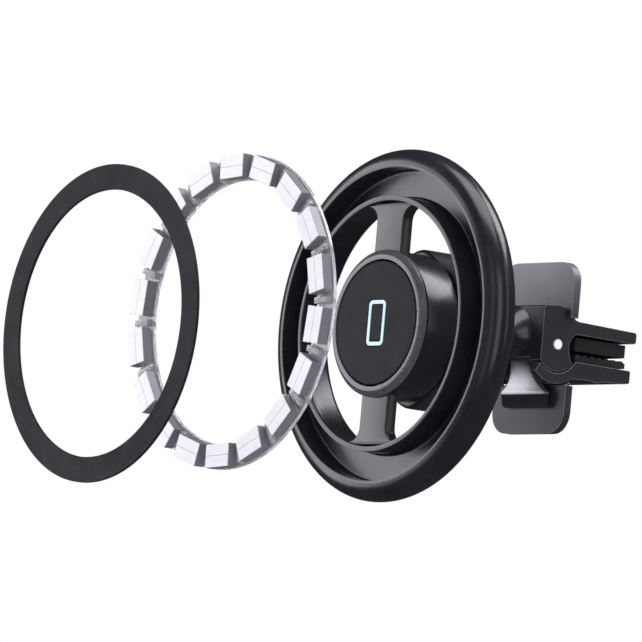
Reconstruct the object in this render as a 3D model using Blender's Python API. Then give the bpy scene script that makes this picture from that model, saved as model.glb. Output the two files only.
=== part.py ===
"""Magnetic car phone mount on an air-vent clip, shown with its magnet ring and
cover ring drawn forward off the ring frame.

Frame: metres, +Z up, the phone side faces -Y and the vent clip points along +Y.
The origin is the centre of the hub's front face. Every length below is in
millimetres and is turned into metres by the factor MM.
"""
import bpy
import bmesh
import math
from mathutils import Matrix, Vector

MM = 0.001

# ---------------------------------------------------------------- dimensions
GAP = 0.3                      # clearance between neighbouring pieces

# drawn-out places of the two loose rings: forward of the seat, and below it
MAGNET_TRAVEL, MAGNET_DROP = 36.33, 2.11     # magnet ring from its seat
COVER_TRAVEL, COVER_DROP = 26.17, 5.62       # cover ring from the magnet ring

# ring frame
INNER_LIP_Y = 0.55             # plane of the inner lip
OUTER_LIP_Y = 1.15             # plane of the outer lip
BORE_R = 22.11                 # inner edge of the inner lip
INNER_LIP_R = 23.10            # outer edge of the inner lip
OUTER_LIP_IN_R = 28.25         # inner edge of the outer lip
OUTER_LIP_OUT_R = 29.0         # outer edge of the outer lip
CHANNEL_FLOOR_Y = 5.45
ROLL_Y = 4.10                  # widest plane of the outer roll
ROLL_FRONT = 3.08              # reach of the roll in front of that plane
RING_MAX_R = 31.8
RING_BACK_Y = 7.95
RING_STEPS = 56

# cover ring, magnets and carrier, in their seated position
COVER_IN_R, COVER_OUT_R = 23.42, 27.90
COVER_Y0, COVER_Y1 = 1.22, 1.80
BLOCK_COUNT = 18
BLOCK_RADIAL, BLOCK_TANGENT, BLOCK_AXIAL = 4.1, 6.4, 2.0
BLOCK_R = 25.70                # radius of the block centres
BLOCK_Y0 = 2.10
BLOCK_PHASE = -3.5             # degrees that the pattern is turned about the ring axis
CARRIER_IN_R, CARRIER_OUT_R = 23.45, 27.90
CARRIER_Y0, CARRIER_Y1 = 4.40, 5.12
RIB_Y0 = 3.37                  # front of the ribs that part the blocks
RIB_WIDTH = 1.15

# spokes and hub
SPOKE_HALF_WIDTH = 3.8
SPOKE_Y0, SPOKE_Y1 = 1.2, 3.5
SPOKE_FILLET = 2.6
HUB_R = 13.3
HUB_POCKET_R = 12.05
HUB_Y0, HUB_FLOOR_Y0, HUB_FLOOR_Y1, HUB_Y1 = 1.2, 4.6, 6.6, 8.5
BEZEL_IN_R, BEZEL_FLAT_R, BEZEL_OUT_R = 11.45, 12.3, 13.3
DISC_R, DISC_T = 11.15, 0.7

# ball joint, concentric on BALL_Y
BALL_Y = 17.6
BALL_R = 6.8
LINER_IN_R, LINER_OUT_R = 7.1, 8.0
SOCKET_IN_R, SOCKET_OUT_R = 8.3, 10.2
SOCKET_END_Y = 20.0
FLANGE_Y0, FLANGE_Y1, FLANGE_R = 6.9, 8.4, 12.3
NUT_Y0, NUT_LIP_Y, NUT_Y1 = 8.8, 20.35, 21.7
NUT_BORE_R, NUT_LIP_R = 10.5, 8.9
NUT_MEAN_R, NUT_LOBE = 13.7, 0.7
NUT_LOBES = 6

# vent clip
CLIP_HALF_WIDTH = 9.0
CLIP_FRONT_Y = 31.3
CLIP_TOP_Z = 7.1
PIN_Y, PIN_Z, PIN_R = 35.0, 0.3, 0.9
CHEEK_R = 4.9                  # rounded lower end of the cheeks, about the pin
JAW_TIP_Y = 53.4
CRADLE_IN_R, CRADLE_OUT_R = 5.25, 7.1
LOWER_TIP_Y = 52.6
SLOT_HALF = 6.0
BARREL_R = 2.5
PLATE_HALF_W, PLATE_HALF_H, PLATE_CORNER = 10.1, 15.6, 3.9
PLATE_Y0, PLATE_Y1 = 36.8, 38.4
PLATE_SILL_Z = -7.1            # lower edge of the slot that the clip passes through
PLATE_MOUTH_Z = -6.9           # lower edge of its open mouth
PLATE_EAVE_Z = 5.4             # lower edge of the upper lobe outside the near cheek
GROOVE_HALF = 8.0              # half width of the cheeks inside the snap groove

# ------------------------------------------------------------------ helpers
for old in list(bpy.data.objects):
    bpy.data.objects.remove(old, do_unlink=True)
for old in list(bpy.data.meshes):
    bpy.data.meshes.remove(old)


def material(name, colour, rough, metal=0.0, transmission=0.0):
    m = bpy.data.materials.get(name)
    if m is None:
        m = bpy.data.materials.new(name)
        m.use_nodes = True
        b = m.node_tree.nodes["Principled BSDF"]
        b.inputs["Base Color"].default_value = (*colour, 1.0)
        b.inputs["Roughness"].default_value = rough
        b.inputs["Metallic"].default_value = metal
        b.inputs["Transmission Weight"].default_value = transmission
    return m


GLOSS_BLACK = material("gloss_black_plastic", (0.012, 0.012, 0.014), 0.22)
SATIN_BLACK = material("satin_black_plastic", (0.022, 0.022, 0.025), 0.38)
MATTE_BLACK = material("matte_black_plastic", (0.026, 0.026, 0.030), 0.62)
COVER_BLACK = material("cover_film_black", (0.022, 0.021, 0.026), 0.70)
PLATE_GREY = material("plate_dark_plastic", (0.060, 0.060, 0.066), 0.40)
RUBBER = material("black_rubber", (0.018, 0.018, 0.018), 0.85)
MAGNET_WHITE = material("coated_magnet", (0.80, 0.80, 0.83), 0.40)
CLEAR = material("clear_carrier_plastic", (0.86, 0.87, 0.90), 0.08, 0.0, 0.6)
PALE_BLUE = material("pale_blue_print", (0.55, 0.75, 0.86), 0.55)
STEEL = material("zinc_plated_steel", (0.62, 0.62, 0.64), 0.30, 1.0)
LIGHT_PIN = material("light_grey_pin", (0.74, 0.74, 0.76), 0.45)
NYLON = material("natural_nylon", (0.72, 0.70, 0.64), 0.50)
RIM_GREY = material("rim_grey_plastic", (0.10, 0.10, 0.11), 0.28)


def finish(name, bm, mat, smooth=None, origin=(0.0, 0.0, 0.0)):
    """Turns a bmesh in millimetres into one object whose origin is at `origin`."""
    bmesh.ops.remove_doubles(bm, verts=bm.verts, dist=1e-5)
    bmesh.ops.recalc_face_normals(bm, faces=bm.faces)
    o = Vector(origin)
    bmesh.ops.translate(bm, verts=bm.verts, vec=-o)
    bmesh.ops.scale(bm, verts=bm.verts, vec=(MM, MM, MM))
    mesh = bpy.data.meshes.new(name)
    bm.to_mesh(mesh)
    bm.free()
    mesh.materials.append(mat)
    ob = bpy.data.objects.new(name, mesh)
    bpy.context.scene.collection.objects.link(ob)
    ob.location = o * MM
    if smooth is not None:
        mesh.shade_smooth()
        mesh.set_sharp_from_angle(angle=math.radians(smooth))
    return ob


def arc(cx, cy, r, a0, a1, n, ry=None):
    """n+1 points on an arc, angles in degrees; ry gives an ellipse."""
    ry = r if ry is None else ry
    out = []
    for i in range(n + 1):
        a = math.radians(a0 + (a1 - a0) * i / n)
        out.append((cx + r * math.cos(a), cy + ry * math.sin(a)))
    return out


def lathe(name, profile, steps, mat, smooth=30, centre=(0.0, 0.0), origin=(0, 0, 0)):
    """Revolves a closed (radius, y) loop about the line parallel to Y through centre (x, z)."""
    bm = bmesh.new()
    rings = []
    for (r, y) in profile:
        if r < 1e-6:
            v = bm.verts.new((centre[0], y, centre[1]))
            rings.append([v] * steps)
            continue
        rings.append([bm.verts.new((centre[0] + r * math.cos(2 * math.pi * k / steps), y,
                                    centre[1] + r * math.sin(2 * math.pi * k / steps)))
                      for k in range(steps)])
    n = len(rings)
    for i in range(n):
        a, b = rings[i], rings[(i + 1) % n]
        for k in range(steps):
            quad = [a[k], a[(k + 1) % steps], b[(k + 1) % steps], b[k]]
            uniq = []
            for v in quad:
                if v not in uniq:
                    uniq.append(v)
            if len(uniq) >= 3:
                bm.faces.new(uniq)
    return finish(name, bm, mat, smooth, origin)


def prism(name, loop, axis, lo, hi, mat, smooth=None, origin=(0, 0, 0)):
    """Extrudes a closed outline. axis 'x': outline is (y, z); axis 'y': outline is (x, z)."""
    bm = bmesh.new()
    put = (lambda p, d: (d, p[0], p[1])) if axis == "x" else (lambda p, d: (p[0], d, p[1]))
    a = [bm.verts.new(put(p, lo)) for p in loop]
    b = [bm.verts.new(put(p, hi)) for p in loop]
    bm.faces.new(a)
    bm.faces.new(list(reversed(b)))
    n = len(loop)
    for i in range(n):
        bm.faces.new([a[i], b[i], b[(i + 1) % n], a[(i + 1) % n]])
    return finish(name, bm, mat, smooth, origin)


def box(name, lo, hi, mat, origin=(0, 0, 0)):
    return prism(name, [(lo[1], lo[2]), (hi[1], lo[2]), (hi[1], hi[2]), (lo[1], hi[2])],
                 "x", lo[0], hi[0], mat, None, origin)


def loft(name, stations, steps, mat, smooth=40, origin=(0, 0, 0)):
    """Skin through ellipses (y, half width x, half height z, centre z), ends capped."""
    bm = bmesh.new()
    rings = []
    for (y, hx, hz, cz) in stations:
        rings.append([bm.verts.new((hx * math.cos(2 * math.pi * k / steps), y,
                                    cz + hz * math.sin(2 * math.pi * k / steps)))
                      for k in range(steps)])
    for a, b in zip(rings, rings[1:]):
        for k in range(steps):
            bm.faces.new([a[k], a[(k + 1) % steps], b[(k + 1) % steps], b[k]])
    bm.faces.new(rings[0])
    bm.faces.new(list(reversed(rings[-1])))
    return finish(name, bm, mat, smooth, origin)


def combine(target, other, how):
    """Boolean of `other` into `target`, applied, and `other` removed."""
    mod = target.modifiers.new(how.lower(), "BOOLEAN")
    mod.operation = how
    mod.object = other
    mod.solver = "EXACT"
    dg = bpy.context.evaluated_depsgraph_get()
    dg.update()
    mesh = bpy.data.meshes.new_from_object(target.evaluated_get(dg))
    target.modifiers.clear()
    target.data = mesh
    bpy.data.objects.remove(other, do_unlink=True)
    bm = bmesh.new()
    bm.from_mesh(mesh)
    bmesh.ops.remove_doubles(bm, verts=bm.verts, dist=2e-6)
    bmesh.ops.dissolve_degenerate(bm, edges=bm.edges, dist=1e-6)
    bm.to_mesh(mesh)
    bm.free()
    return target


def only_material(ob, mat, smooth=None):
    ob.data.materials.clear()
    ob.data.materials.append(mat)
    for p in ob.data.polygons:
        p.material_index = 0
    if smooth is not None:
        ob.data.shade_smooth()
        ob.data.set_sharp_from_angle(angle=math.radians(smooth))


def parent_keep(child, parent):
    bpy.context.view_layer.update()
    child.parent = parent
    child.matrix_parent_inverse = parent.matrix_world.inverted()


def empty(name, at):
    e = bpy.data.objects.new(name, None)
    e.location = Vector(at) * MM
    e.empty_display_size = 0.004
    bpy.context.scene.collection.objects.link(e)
    return e


def rounded_rect(hw, hh, r, n, cx=0.0, cz=0.0):
    pts = []
    for (sx, sz, a0) in ((1, 1, 0), (-1, 1, 90), (-1, -1, 180), (1, -1, 270)):
        pts += arc(cx + sx * (hw - r), cz + sz * (hh - r), r, a0, a0 + 90, n)
    return pts


# --------------------------------------------------------------- ring frame
roll = []
for i in range(9):                          # outer roll, from the front lip to the back
    a = math.radians(20.5 + (180 - 20.5) * i / 8)
    roll.append((27.5 + (RING_MAX_R - 27.5) * math.sin(a),
                 ROLL_Y - (ROLL_FRONT if math.cos(a) > 0 else RING_BACK_Y - ROLL_Y) * math.cos(a)))
ring_profile = (
    [(BORE_R + 0.25, INNER_LIP_Y), (INNER_LIP_R, INNER_LIP_Y)]
    + [(INNER_LIP_R + 0.02, CHANNEL_FLOOR_Y - 0.5), (INNER_LIP_R + 0.45, CHANNEL_FLOOR_Y)]
    + [(OUTER_LIP_IN_R - 0.45, CHANNEL_FLOOR_Y), (OUTER_LIP_IN_R - 0.02, CHANNEL_FLOOR_Y - 0.5)]
    + [(OUTER_LIP_IN_R, OUTER_LIP_Y), (OUTER_LIP_OUT_R, OUTER_LIP_Y)]
    + roll
    + [(25.4, RING_BACK_Y - 0.05)]
    + arc(24.2, 6.05, 1.85, 90, 180, 3, 1.75)[1:]
    + [(BORE_R + 0.05, 3.4), (BORE_R, INNER_LIP_Y + 0.3)]
)
ring = lathe("ring_frame", ring_profile, RING_STEPS, GLOSS_BLACK, 28)

hub_profile = [
    (0.0, HUB_FLOOR_Y0), (HUB_POCKET_R - 0.3, HUB_FLOOR_Y0), (HUB_POCKET_R, HUB_FLOOR_Y0 - 0.3),
    (HUB_POCKET_R, HUB_Y0), (HUB_R, HUB_Y0), (HUB_R, HUB_Y1 - 0.4), (HUB_R - 0.3, HUB_Y1),
    (HUB_R - 0.6, HUB_Y1), (HUB_R - 0.6, HUB_FLOOR_Y1), (0.0, HUB_FLOOR_Y1),
]
hub = lathe("hub_blank", hub_profile, RING_STEPS, GLOSS_BLACK, 28)


def spoke_outline(sign):
    """Straight spoke whose outer end flares into the bore with round fillets."""
    w, f = SPOKE_HALF_WIDTH, SPOKE_FILLET
    zc = math.sqrt((BORE_R + 0.05 - f) ** 2 - (w + f) ** 2)      # fillet centre height
    ang = math.degrees(math.atan2(zc, w + f))
    right = arc(w + f, zc, f, 180, ang, 6)                       # from the spoke side to the bore
    right += [(w + 3.0, math.sqrt((BORE_R + 0.75) ** 2 - (w + 3.0) ** 2))]
    left = [(-x, z) for (x, z) in reversed(right)]
    pts = [(w, HUB_R - 1.0)] + right + left + [(-w, HUB_R - 1.0)]
    return [(x, z * sign) for (x, z) in pts]


for s in (1, -1):
    spoke = prism("spoke_blank", spoke_outline(s), "y", SPOKE_Y0, SPOKE_Y1, GLOSS_BLACK)
    combine(ring, spoke, "UNION")
combine(ring, hub, "UNION")

SCREW_R, SCREW_ANGLES = 7.6, (45, 135, 225, 315)
for a in SCREW_ANGLES:
    c = (SCREW_R * math.cos(math.radians(a)), SCREW_R * math.sin(math.radians(a)))
    hole = lathe("hole", [(0, HUB_FLOOR_Y0 - 1), (1.1, HUB_FLOOR_Y0 - 1), (1.1, HUB_FLOOR_Y1 + 0.15),
                          (0, HUB_FLOOR_Y1 + 0.15)], 8, GLOSS_BLACK, None, c)
    combine(ring, hole, "DIFFERENCE")
only_material(ring, GLOSS_BLACK, 28)
head = empty("head_pivot", (0, BALL_Y, 0))

bezel = lathe("hub_bezel", [
    (BEZEL_IN_R, 0.0), (BEZEL_FLAT_R, 0.0), (BEZEL_OUT_R, 0.75), (BEZEL_OUT_R, 0.9),
    (11.75, 0.9), (11.75, 2.4), (BEZEL_IN_R, 2.4)], RING_STEPS, RIM_GREY, 25)

MARK_HW, MARK_HH, MARK_T = 2.35, 4.1, 0.7     # plain phone outline on the hub disc
disc = lathe("hub_face_disc", [(0, 0.0), (DISC_R - 0.15, 0.0), (DISC_R, 0.12), (DISC_R, DISC_T), (0, DISC_T)],
             RING_STEPS, MATTE_BLACK, 25)
recess = prism("recess", rounded_rect(MARK_HW + 0.2, MARK_HH + 0.2, 1.1, 4), "y", -0.5, 0.42, MATTE_BLACK)
island = prism("island", rounded_rect(MARK_HW - MARK_T - 0.2, MARK_HH - MARK_T - 0.2, 0.35, 3), "y", -0.6, 0.6, MATTE_BLACK)
combine(recess, island, "DIFFERENCE")
combine(disc, recess, "DIFFERENCE")
only_material(disc, MATTE_BLACK, 25)
mark = prism("hub_mark", rounded_rect(MARK_HW, MARK_HH, 0.95, 5), "y", 0.0, 0.12, PALE_BLUE)
mark_in = prism("mark_in", rounded_rect(MARK_HW - MARK_T, MARK_HH - MARK_T, 0.45, 4), "y", -0.5, 0.5, PALE_BLUE)
combine(mark, mark_in, "DIFFERENCE")
only_material(mark, PALE_BLUE)

hub_magnet = lathe("hub_centre_magnet", [(0, 1.0), (8.8, 1.0), (9.0, 1.2), (9.0, 1.8), (8.8, 2.0), (0, 2.0)], 28, STEEL, 30)
hub_yoke = lathe("hub_yoke_plate", [(0, 2.3), (11.0, 2.3), (11.0, 3.0), (0, 3.0)], 32, STEEL, 30)

screws = []
for i, a in enumerate(SCREW_ANGLES):
    c = (SCREW_R * math.cos(math.radians(a)), SCREW_R * math.sin(math.radians(a)))
    screws.append(lathe("hub_screw_%d" % (i + 1), [(0, 3.75), (0.35, 3.75), (0.35, 3.45), (1.3, 3.45), (1.5, 3.7), (1.5, 4.3),
                                                  (0.8, 4.3), (0.8, 9.3), (0, 9.3)], 8, STEEL, 35, c))

# ------------------------------------------------- ball joint and lock nut
n = 6
a_mouth = math.degrees(math.asin((SOCKET_END_Y - BALL_Y) / SOCKET_IN_R))
socket_profile = ([(0.0, FLANGE_Y0), (FLANGE_R, FLANGE_Y0), (FLANGE_R, FLANGE_Y1), (SOCKET_OUT_R, FLANGE_Y1),
                   (SOCKET_OUT_R, SOCKET_END_Y)]
                  + [(SOCKET_IN_R * math.cos(math.radians(t)), BALL_Y + SOCKET_IN_R * math.sin(math.radians(t)))
                     for t in [a_mouth + (-90 - a_mouth) * k / n for k in range(n + 1)]])
socket = lathe("ball_socket", socket_profile, 28, SATIN_BLACK, 30)
for a in SCREW_ANGLES:
    c = (SCREW_R * math.cos(math.radians(a)), SCREW_R * math.sin(math.radians(a)))
    hole = lathe("hole", [(0, FLANGE_Y0 - 0.15), (1.1, FLANGE_Y0 - 0.15), (1.1, 9.6), (0, 9.6)], 8, SATIN_BLACK, None, c)
    combine(socket, hole, "DIFFERENCE")
only_material(socket, SATIN_BLACK, 30)

t0, t1 = -62.0, 15.0
liner_profile = ([(LINER_OUT_R * math.cos(math.radians(t0 + (t1 - t0) * k / 5)),
                   BALL_Y + LINER_OUT_R * math.sin(math.radians(t0 + (t1 - t0) * k / 5))) for k in range(6)]
                 + [(LINER_IN_R * math.cos(math.radians(t1 + (t0 - t1) * k / 5)),
                     BALL_Y + LINER_IN_R * math.sin(math.radians(t1 + (t0 - t1) * k / 5))) for k in range(6)])
liner = lathe("ball_seat_liner", liner_profile, 24, NYLON, 30, origin=(0, BALL_Y, 0))

BALL_FLAT_Y, BORE_BALL_R = BALL_Y + 5.1, 1.95
a_flat = math.degrees(math.asin((BALL_FLAT_Y - BALL_Y) / BALL_R))
ball_profile = ([(BALL_R * math.cos(math.radians(t)), BALL_Y + BALL_R * math.sin(math.radians(t)))
                 for t in [-90 + (a_flat + 90) * k / 7 for k in range(8)]]
                + [(BORE_BALL_R, BALL_FLAT_Y), (BORE_BALL_R, 13.2), (0, 13.2)])
ball_profile[0] = (0.0, BALL_Y - BALL_R)
ball = lathe("swivel_ball", ball_profile, 24, SATIN_BLACK, 30, origin=(0, BALL_Y, 0))

bm = bmesh.new()
steps = 60


def nut_r(k, scale):
    t = 2 * math.pi * k / steps
    return scale * (NUT_MEAN_R + NUT_LOBE * math.cos(NUT_LOBES * (t - math.pi / 2)))


def nut_ring(radius, y):
    return [bm.verts.new((radius(k) * math.cos(2 * math.pi * k / steps), y,
                          radius(k) * math.sin(2 * math.pi * k / steps))) for k in range(steps)]


loops = [nut_ring(lambda k: NUT_BORE_R, NUT_Y0), nut_ring(lambda k: nut_r(k, 0.955), NUT_Y0),
         nut_ring(lambda k: nut_r(k, 1.0), NUT_Y0 + 0.7), nut_ring(lambda k: nut_r(k, 1.0), NUT_Y1 - 3.4),
         nut_ring(lambda k: nut_r(k, 0.80), NUT_Y1), nut_ring(lambda k: NUT_LIP_R, NUT_Y1),
         nut_ring(lambda k: NUT_LIP_R, NUT_LIP_Y), nut_ring(lambda k: NUT_BORE_R, NUT_LIP_Y)]
for i in range(len(loops)):
    a, b = loops[i], loops[(i + 1) % len(loops)]
    for k in range(steps):
        bm.faces.new([a[k], a[(k + 1) % steps], b[(k + 1) % steps], b[k]])
nut = finish("lock_nut", bm, SATIN_BLACK, 35, (0, BALL_Y, 0))

# --------------------------------------------------------- magnet ring, cover
magnet_slide = empty("magnet_ring_slide", (0, -MAGNET_TRAVEL, -MAGNET_DROP))
dm = -MAGNET_TRAVEL
carrier = lathe("magnet_carrier", [
    (CARRIER_IN_R, CARRIER_Y0 + dm), (CARRIER_OUT_R, CARRIER_Y0 + dm),
    (CARRIER_OUT_R, CARRIER_Y1 + dm), (CARRIER_IN_R, CARRIER_Y1 + dm)], RING_STEPS, CLEAR, 30)
for i in range(BLOCK_COUNT):
    t = math.radians(90 + 10 - BLOCK_PHASE + 360.0 * i / BLOCK_COUNT)
    rib = box("rib", (-RIB_WIDTH / 2, RIB_Y0 + dm, CARRIER_IN_R + 0.35),
              (RIB_WIDTH / 2, CARRIER_Y0 + 0.3 + dm, CARRIER_OUT_R - 0.35), CLEAR)
    rib.rotation_euler = (0, math.radians(90) - t, 0)
    bpy.context.view_layer.update()
    combine(carrier, rib, "UNION")
only_material(carrier, CLEAR, 30)
carrier.location.z -= MAGNET_DROP * MM
parent_keep(carrier, magnet_slide)

block_mesh = None
for i in range(BLOCK_COUNT):
    name = "magnet_%02d" % (i + 1)
    t = BLOCK_PHASE + 360.0 * i / BLOCK_COUNT                    # clockwise from the top
    if block_mesh is None:
        c = 0.22
        y0, y1 = BLOCK_Y0, BLOCK_Y0 + BLOCK_AXIAL
        hw, hr = BLOCK_TANGENT / 2, BLOCK_RADIAL / 2
        bm = bmesh.new()
        rows = []
        for (y, ix) in ((y0, c), (y0 + c, 0.0), (y1, 0.0)):
            rows.append([bm.verts.new((sx * (hw - ix), y, sz * (hr - ix)))
                         for (sx, sz) in ((1, 1), (-1, 1), (-1, -1), (1, -1))])
        bm.faces.new(rows[0])
        bm.faces.new(list(reversed(rows[-1])))
        for a, b in zip(rows, rows[1:]):
            for k in range(4):
                bm.faces.new([a[k], a[(k + 1) % 4], b[(k + 1) % 4], b[k]])
        ob = finish(name, bm, MAGNET_WHITE, None, (0, 0, 0))
        block_mesh = ob.data
    else:
        ob = bpy.data.objects.new(name, block_mesh)
        bpy.context.scene.collection.objects.link(ob)
    a = math.radians(t)
    ob.location = Vector((BLOCK_R * math.sin(a), -MAGNET_TRAVEL, BLOCK_R * math.cos(a) - MAGNET_DROP)) * MM
    ob.rotation_euler = (0, a, 0)
    parent_keep(ob, magnet_slide)

cover_slide = empty("cover_ring_slide", (0, -MAGNET_TRAVEL - COVER_TRAVEL, -MAGNET_DROP - COVER_DROP))
dc = -MAGNET_TRAVEL - COVER_TRAVEL
cover = lathe("cover_ring", [(COVER_IN_R, COVER_Y0 + dc), (COVER_OUT_R, COVER_Y0 + dc),
                             (COVER_OUT_R, COVER_Y1 + dc), (COVER_IN_R, COVER_Y1 + dc)], 64, COVER_BLACK, 30)
cover.location.z -= (MAGNET_DROP + COVER_DROP) * MM
parent_keep(magnet_slide, head)
parent_keep(cover_slide, magnet_slide)
parent_keep(cover, cover_slide)
for ob in [ring, bezel, disc, mark, hub_magnet, hub_yoke, socket] + screws:
    parent_keep(ob, head)
parent_keep(nut, head)

# -------------------------------------------------------------- vent clip
# side outline of a cheek and the upper jaw, (y, z)
a_front = 180 + math.degrees(math.asin((0.0) / CHEEK_R))
z_front = PIN_Z - math.sqrt(CHEEK_R ** 2 - (PIN_Y - CLIP_FRONT_Y) ** 2)
ang0 = math.degrees(math.atan2(z_front - PIN_Z, CLIP_FRONT_Y - PIN_Y)) % 360
cheek = ([(CLIP_FRONT_Y, CLIP_TOP_Z - 0.35), (CLIP_FRONT_Y, z_front)]
         + arc(PIN_Y, PIN_Z, CHEEK_R, ang0, 318, 9)[1:]
         + [(37.9, -1.4), (37.75, 0.2)]
         + arc(40.05, 0.35, 2.3, 180, 100, 5)[1:]
         + [(JAW_TIP_Y - 0.3, 2.55), (JAW_TIP_Y, 2.85), (JAW_TIP_Y, 4.3), (JAW_TIP_Y - 0.3, 4.6),
            (39.6, 4.95)]
         + arc(34.0, 1.2, 6.2, 40, 84, 7)
         + [(CLIP_FRONT_Y + 0.35, CLIP_TOP_Z)])
body = prism("vent_clip_body", cheek, "x", -CLIP_HALF_WIDTH, CLIP_HALF_WIDTH, SATIN_BLACK, None)
# slot between the cheeks for the hinge barrel and its web
slot = ([(32.15, 2.4)] + [(32.15, -1.7), (31.0, -2.6), (31.0, -6.0), (42.5, -6.0), (42.5, 2.4)]
        + [(41.0, 2.4), (39.2, 4.0), (36.5, 4.6), (34.0, 4.3)])
combine(body, prism("slot", slot, "x", -SLOT_HALF, SLOT_HALF, SATIN_BLACK), "DIFFERENCE")
# groove in the far cheek for the closed side of the stabiliser plate
combine(body, box("groove", (-CLIP_HALF_WIDTH - 1, PLATE_Y0 - GAP, -2.5), (-GROOVE_HALF, PLATE_Y1 + GAP, 8.0), SATIN_BLACK), "DIFFERENCE")
# neck from the clip to the ball, with a spigot inside the ball
neck = loft("neck", [(22.98, 3.3, 3.3, 0.0), (25.5, 3.3, 3.3, 0.1), (27.6, 3.6, 3.55, 0.5), (29.3, 4.2, 4.0, 1.2),
                     (30.6, 5.0, 4.5, 1.9), (31.9, 5.6, 4.75, 2.2)], 28, SATIN_BLACK)
combine(body, neck, "UNION")
spigot = lathe("spigot", [(0, 13.6), (1.3, 13.6), (1.6, 13.9), (1.6, 23.6), (0, 23.6)], 20, SATIN_BLACK)
combine(body, spigot, "UNION")
pin_hole = prism("pin_hole", arc(PIN_Y, PIN_Z, PIN_R + 0.2, 0, 337.5, 15), "x", -12, 12, SATIN_BLACK)
combine(body, pin_hole, "DIFFERENCE")
only_material(body, SATIN_BLACK, 28)

plate = prism("stabiliser_plate", rounded_rect(PLATE_HALF_W, PLATE_HALF_H, PLATE_CORNER, 8), "y", PLATE_Y0, PLATE_Y1, PLATE_GREY)
# slot open toward +X, so that the plate slides on from the far side of the clip;
# its edges follow the top of the cheeks and the underside of the cradle
slot_side = ([(35.6, PLATE_SILL_Z)]
             + arc(PIN_Y, PIN_Z, CRADLE_OUT_R + 0.32, 280, 306, 5)
             + [(39.6, PLATE_EAVE_Z)]
             + arc(34.0, 1.2, 6.52, 40, 75, 6))
combine(plate, prism("slot_cut", slot_side, "x", -GROOVE_HALF - GAP, CLIP_HALF_WIDTH + GAP, PLATE_GREY), "DIFFERENCE")
combine(plate, box("slot_mouth", (CLIP_HALF_WIDTH + GAP - 0.1, PLATE_Y0 - 1, PLATE_MOUTH_Z),
                   (PLATE_HALF_W + 1, PLATE_Y1 + 1, PLATE_EAVE_Z), PLATE_GREY), "DIFFERENCE")
# the closed side thins below the cheek, clear of the lower jaw
combine(plate, box("relief", (-9.35, PLATE_Y0 - 1, PLATE_MOUTH_Z), (-8.1, PLATE_Y1 + 1, -2.2), PLATE_GREY), "DIFFERENCE")
only_material(plate, PLATE_GREY, 28)

pin = prism("pivot_pin", arc(PIN_Y, PIN_Z, PIN_R, 0, 337.5, 15), "x", -CLIP_HALF_WIDTH - 0.15, CLIP_HALF_WIDTH + 0.15,
            LIGHT_PIN, 30, (0, PIN_Y, PIN_Z))

# lower jaw: cradle round the cheeks, arm, hinge barrel, web and thumb lever
lower = ([(p) for p in arc(PIN_Y, PIN_Z, CRADLE_IN_R, 226, 320, 10)]
         + [(39.6, -2.35), (LOWER_TIP_Y - 0.25, -2.45), (LOWER_TIP_Y, -2.7), (LOWER_TIP_Y, -4.55), (LOWER_TIP_Y - 0.3, -4.85),
            (46.2, -5.2), (45.6, -5.5), (44.2, -5.55), (43.6, -5.3), (38.9, -5.5)]
         + arc(PIN_Y, PIN_Z, CRADLE_OUT_R, 292, 228, 7))
jaw = prism("lower_jaw", lower, "x", -CLIP_HALF_WIDTH, CLIP_HALF_WIDTH, SATIN_BLACK, None, (0, PIN_Y, PIN_Z))
# open front between the two cradle walls, where the thumb lever comes through
combine(jaw, box("front_cut", (-7.3, 26.0, -9.0), (7.3, 35.9, -1.2), SATIN_BLACK), "DIFFERENCE")
barrel = prism("barrel", arc(PIN_Y, PIN_Z, BARREL_R, 0, 337.5, 15), "x", -5.6, 3.5, SATIN_BLACK)
combine(jaw, barrel, "UNION")
web = prism("web", [(34.2, PIN_Z), (36.6, PIN_Z), (37.2, -4.0), (37.0, -5.9), (35.5, -5.9), (34.7, -3.5)], "x", -5.6, 3.5, SATIN_BLACK)
combine(jaw, web, "UNION")
hole = prism("hole", arc(PIN_Y, PIN_Z, PIN_R + 0.2, 0, 337.5, 15), "x", -12, 12, SATIN_BLACK)
combine(jaw, hole, "DIFFERENCE")

# thumb lever: stations down the lever, (z, front y, back y, half width)
LEVER = [(-2.0, 33.7, 35.4, 2.9), (-3.4, 34.0, 35.6, 2.9), (-4.8, 34.4, 35.9, 3.2), (-5.9, 34.7, 36.2, 3.7), (-6.9, 34.95, 36.4, 4.5),
         (-7.6, 35.1, 36.4, 5.3), (-8.15, 35.15, 36.4, 6.0), (-8.7, 35.35, 36.45, 6.2), (-10.2, 35.65, 36.45, 6.2), (-10.9, 36.0, 36.45, 5.9)]
bm = bmesh.new()
rows = []
for (z, yf, yb, hw) in LEVER:
    rows.append([bm.verts.new(v) for v in
                 ((hw, yf + 0.3, z), (hw - 0.4, yf, z), (-(hw - 0.4), yf, z), (-hw, yf + 0.3, z),
                  (-hw, yb - 0.2, z), (-(hw - 0.3), yb, z), (hw - 0.3, yb, z), (hw, yb - 0.2, z))])
bm.faces.new(rows[0])
bm.faces.new(list(reversed(rows[-1])))
for a, b in zip(rows, rows[1:]):
    for k in range(8):
        bm.faces.new([a[k], a[(k + 1) % 8], b[(k + 1) % 8], b[k]])
lever = finish("lever", bm, SATIN_BLACK, None)
combine(jaw, lever, "UNION")
only_material(jaw, SATIN_BLACK, 28)


def toothed(y0, y1, z_flat, z_tip, pitch, depth):
    """Flat-backed grip strip whose free side carries low trapezoid teeth."""
    pts, y = [], y0
    sign = 1 if z_tip > z_flat else -1
    while y + pitch <= y1 + 1e-6:
        pts += [(y, z_tip - sign * depth), (y + 0.25 * pitch, z_tip), (y + 0.6 * pitch, z_tip), (y + 0.85 * pitch, z_tip - sign * depth)]
        y += pitch
    pts += [(y, z_tip - sign * depth), (y, z_flat), (y0, z_flat)]
    return pts


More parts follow.
